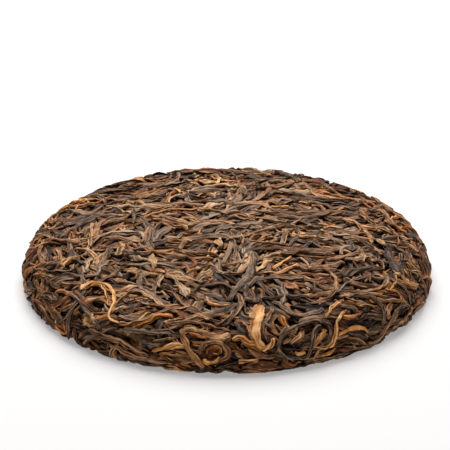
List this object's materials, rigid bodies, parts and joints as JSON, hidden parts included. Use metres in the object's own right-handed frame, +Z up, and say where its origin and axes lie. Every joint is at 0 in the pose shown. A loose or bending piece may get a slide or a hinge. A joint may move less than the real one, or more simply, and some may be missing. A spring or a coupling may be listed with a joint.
{
  "type": "raw pu-erh tea cake",
  "caption": "Round pressed cake of dark twisted tea leaves with tan stems and golden buds, domed on top, flat below, with a shallow hollow in the middle of its base.",
  "frame": {"origin": "on the base, under the middle of the cake", "axes": "+Z up through the middle of the cake, -Y towards the side that the picture shows nearest"},
  "size_m": [0.2, 0.2, 0.0252],
  "materials": {
    "dark_leaf": "dry rolled leaf, satin",
    "brown_leaf": "dry rolled leaf, satin",
    "tan_leaf": "dry pale leaf, matt",
    "golden_bud": "downy bud, satin",
    "stem": "thin dry stem, satin"
  },
  "bodies": {
    "root": {"tea_cake": "dark_leaf"}
  },
  "joints": []
}
